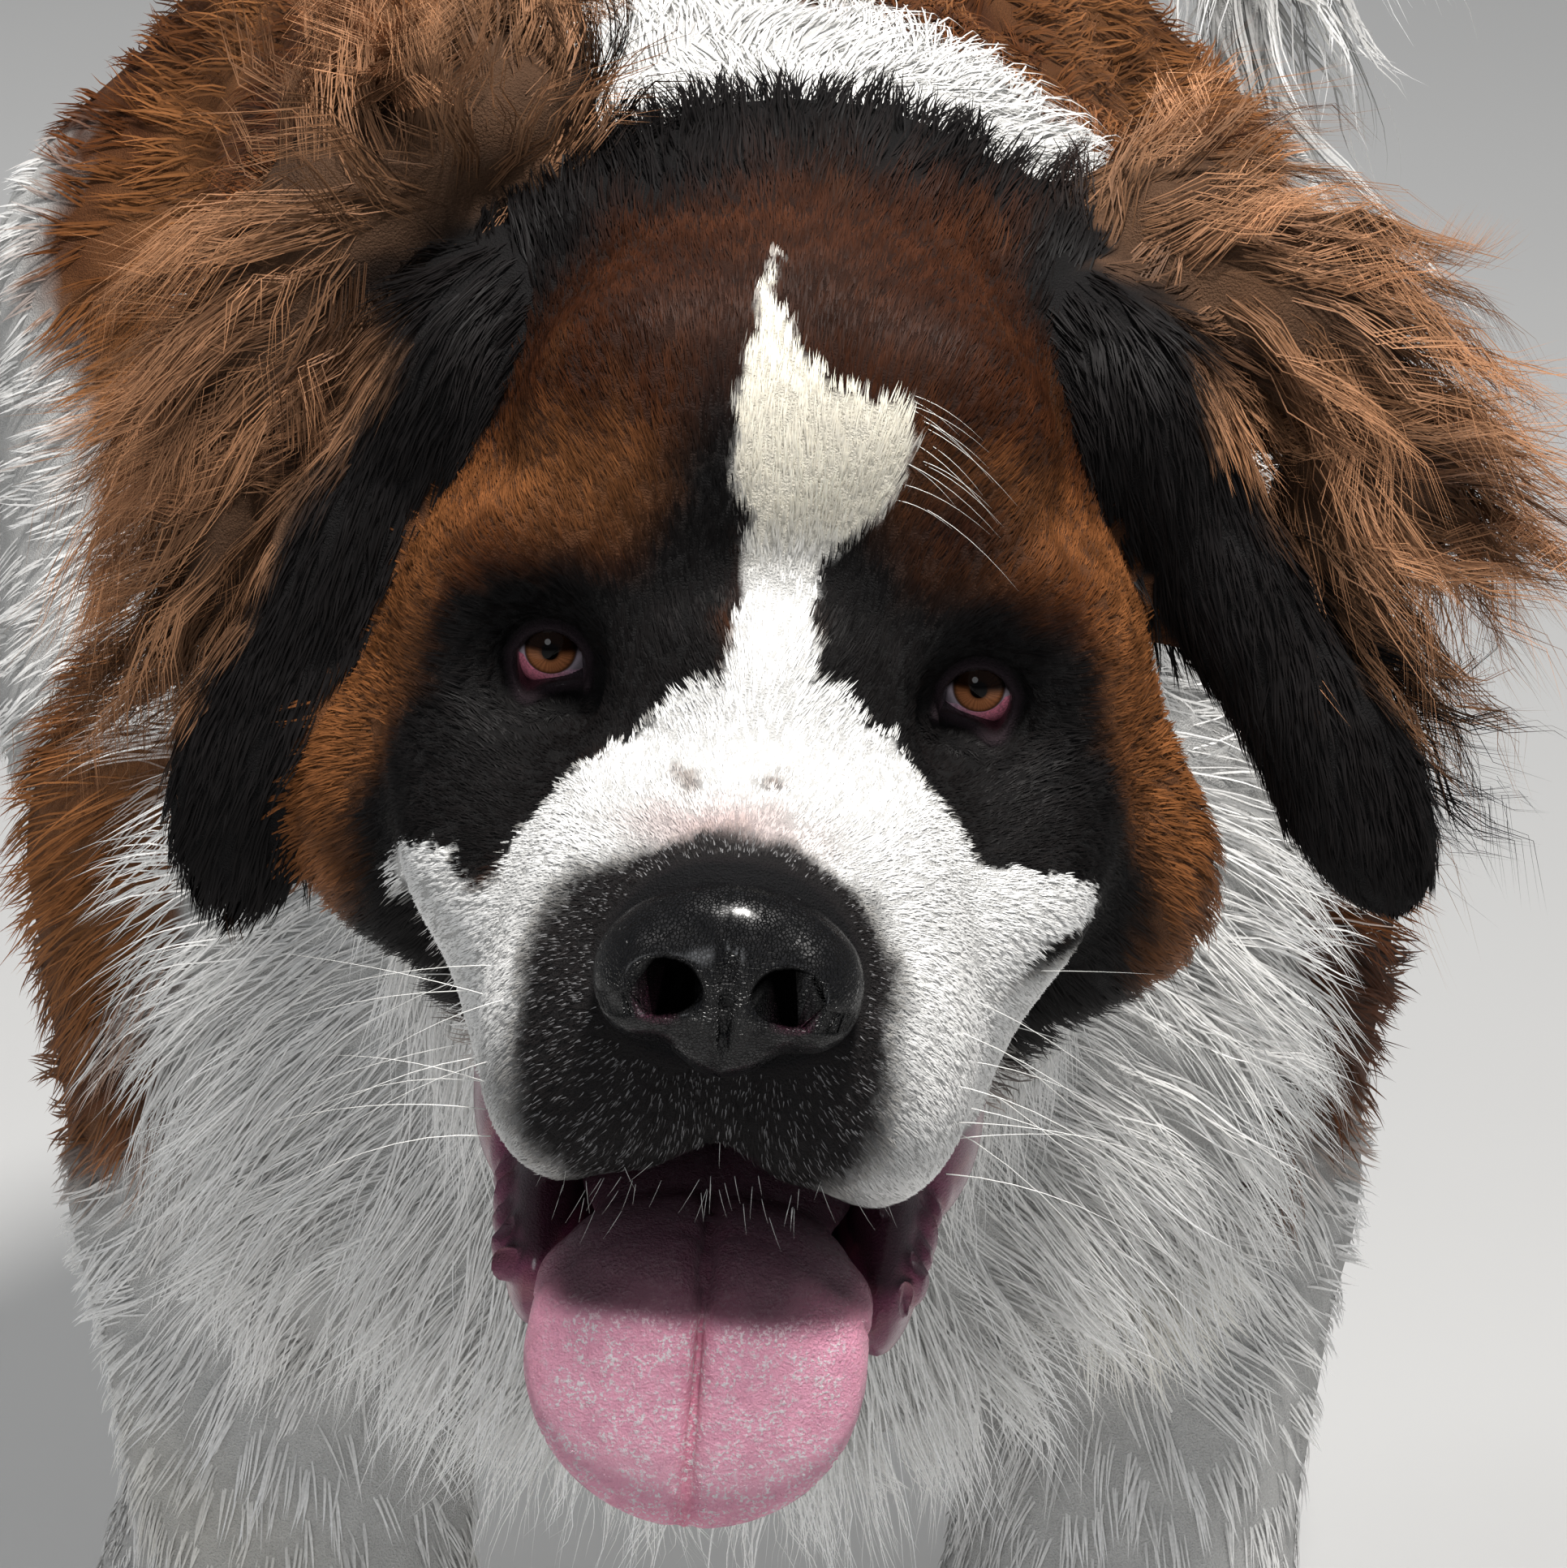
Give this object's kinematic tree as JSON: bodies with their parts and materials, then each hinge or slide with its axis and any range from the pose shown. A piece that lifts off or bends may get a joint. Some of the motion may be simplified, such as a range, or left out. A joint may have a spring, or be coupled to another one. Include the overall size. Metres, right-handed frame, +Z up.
{
  "type": "saint bernard dog model",
  "caption": "Life-size still model of a long-haired Saint Bernard standing squarely, head forward, mouth open and tongue out, tail swung to its left.",
  "frame": {"origin": "on the floor under the middle of the dog's outline", "axes": "the dog faces -Y, +X is its left side, +Z is up"},
  "size_m": [0.5192, 1.483, 0.8544],
  "materials": {
    "coat": "long soft hair, white with mahogany and black markings, finer and shorter on face and feet",
    "ear_coat": "long wavy brown hair over short black hair",
    "eye": "wet amber-brown iris with dark pupil under a clear dome",
    "nose_leather": "moist fine-grained black nose leather, dark lids, lips and claws",
    "moist_flesh": "wet pink tongue, inner lips and lid rims"
  },
  "bodies": {
    "root": {"head": "coat", "jaw": "coat", "neck": "coat", "chest": "coat", "hindquarters": "coat", "tail_root": "coat", "tail_brush": "coat", "foreleg_left": "coat", "foreleg_right": "coat", "forepaw_left": "coat", "forepaw_right": "coat", "hindleg_left": "coat", "hindleg_right": "coat", "hindpaw_left": "coat", "hindpaw_right": "coat", "ear_left": "ear_coat", "ear_right": "ear_coat", "eye_left": "eye", "eye_right": "eye", "nose": "nose_leather", "tongue": "moist_flesh"}
  },
  "joints": []
}
